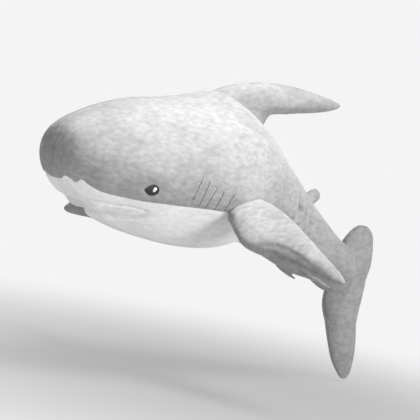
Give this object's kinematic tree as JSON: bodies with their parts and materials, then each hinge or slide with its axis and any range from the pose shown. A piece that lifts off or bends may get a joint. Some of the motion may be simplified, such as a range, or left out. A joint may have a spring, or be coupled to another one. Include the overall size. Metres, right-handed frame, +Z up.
{
  "type": "plush shark",
  "caption": "Large stuffed toy shark with short pile, padded fins, stitched gills and a drooping tail; it flexes at the waist, stem and fins.",
  "frame": {"origin": "on the ground, below the middle of the toy's length and width; the ground touches the lower tip of the tail fin", "axes": "nose towards -Y, the shark's left towards +X, +Z up"},
  "size_m": [0.7378, 0.9225, 0.5742],
  "materials": {
    "grey_plush": "short brushed pile",
    "white_plush": "short brushed pile",
    "mouth_felt": "felt",
    "dark_thread": "satin embroidery thread",
    "white_thread": "satin embroidery thread",
    "stuffing": "loose polyester fibre"
  },
  "bodies": {
    "trunk": {"back_panel_left": "grey_plush", "back_panel_right": "grey_plush", "upper_lip_panel": "white_plush", "mouth_panel": "mouth_felt", "belly_panel": "white_plush", "trunk_stuffing": "stuffing", "eye_left": "dark_thread", "eye_right": "dark_thread", "eye_glint_left": "white_thread", "eye_glint_right": "white_thread", "gill_stitches_left": "dark_thread", "gill_stitches_right": "dark_thread"},
    "waist": {"waist_panel_left": "grey_plush", "waist_panel_right": "grey_plush", "waist_stuffing": "stuffing"},
    "tail_stem": {"stem_panel_left": "grey_plush", "stem_panel_right": "grey_plush", "stem_stuffing": "stuffing"},
    "tail_fin": {"tail_fin_left": "grey_plush", "tail_fin_right": "grey_plush", "tail_fin_stuffing": "stuffing"},
    "dorsal_fin": {"dorsal_fin_left": "grey_plush", "dorsal_fin_right": "grey_plush", "dorsal_fin_stuffing": "stuffing"},
    "second_dorsal_fin": {"second_dorsal_fin_left": "grey_plush", "second_dorsal_fin_right": "grey_plush", "second_dorsal_fin_stuffing": "stuffing"},
    "pectoral_fin_left": {"pectoral_fin_top_left": "grey_plush", "pectoral_fin_under_left": "grey_plush", "pectoral_fin_stuffing_left": "stuffing"},
    "pectoral_fin_right": {"pectoral_fin_top_right": "grey_plush", "pectoral_fin_under_right": "grey_plush", "pectoral_fin_stuffing_right": "stuffing"},
    "pelvic_fin_left": {"pelvic_fin_top_left": "grey_plush", "pelvic_fin_under_left": "grey_plush"},
    "pelvic_fin_right": {"pelvic_fin_top_right": "grey_plush", "pelvic_fin_under_right": "grey_plush"}
  },
  "joints": [
    {"name": "waist_bend", "type": "hinge", "parent": "trunk", "child": "waist", "pos_m": [0, 0.12896, 0.32215], "axis": [0, 0.4479, 0.8941], "range_deg": [-15, 15], "stiffness_Nm_per_rad": 20},
    {"name": "stem_bend", "type": "hinge", "parent": "waist", "child": "tail_stem", "pos_m": [0, 0.22333, 0.27612], "axis": [1, 0, 0], "range_deg": [-15, 15], "stiffness_Nm_per_rad": 14},
    {"name": "tail_swing", "type": "hinge", "parent": "tail_stem", "child": "tail_fin", "pos_m": [0, 0.31126, 0.24023], "axis": [0, 0.3451, 0.9386], "range_deg": [-25, 25], "stiffness_Nm_per_rad": 4},
    {"name": "dorsal_tilt", "type": "hinge", "parent": "trunk", "child": "dorsal_fin", "pos_m": [0, -0.1238, 0.5196], "axis": [0, 0.9827, -0.185], "range_deg": [-25, 25], "stiffness_Nm_per_rad": 1.5},
    {"name": "second_dorsal_tilt", "type": "hinge", "parent": "waist", "child": "second_dorsal_fin", "pos_m": [0, 0.21034, 0.36967], "axis": [0, 0.8247, -0.5656], "range_deg": [-25, 25], "stiffness_Nm_per_rad": 0.1},
    {"name": "pectoral_flap_left", "type": "hinge", "parent": "trunk", "child": "pectoral_fin_left", "pos_m": [0.116, -0.1328, 0.3196], "axis": [-0.0349, -0.9216, -0.3867], "range_deg": [-25, 35], "stiffness_Nm_per_rad": 3},
    {"name": "pelvic_tilt_left", "type": "hinge", "parent": "tail_stem", "child": "pelvic_fin_left", "pos_m": [0.037, 0.20774, 0.22393], "axis": [0.051, -0.965, 0.2572], "range_deg": [-20, 20], "stiffness_Nm_per_rad": 0.1},
    {"name": "pectoral_flap_right", "type": "hinge", "parent": "trunk", "child": "pectoral_fin_right", "pos_m": [-0.116, -0.1328, 0.3196], "axis": [-0.0349, 0.9216, 0.3867], "range_deg": [-25, 35], "stiffness_Nm_per_rad": 3},
    {"name": "pelvic_tilt_right", "type": "hinge", "parent": "tail_stem", "child": "pelvic_fin_right", "pos_m": [-0.037, 0.20774, 0.22393], "axis": [0.051, 0.965, -0.2572], "range_deg": [-20, 20], "stiffness_Nm_per_rad": 0.1}
  ]
}
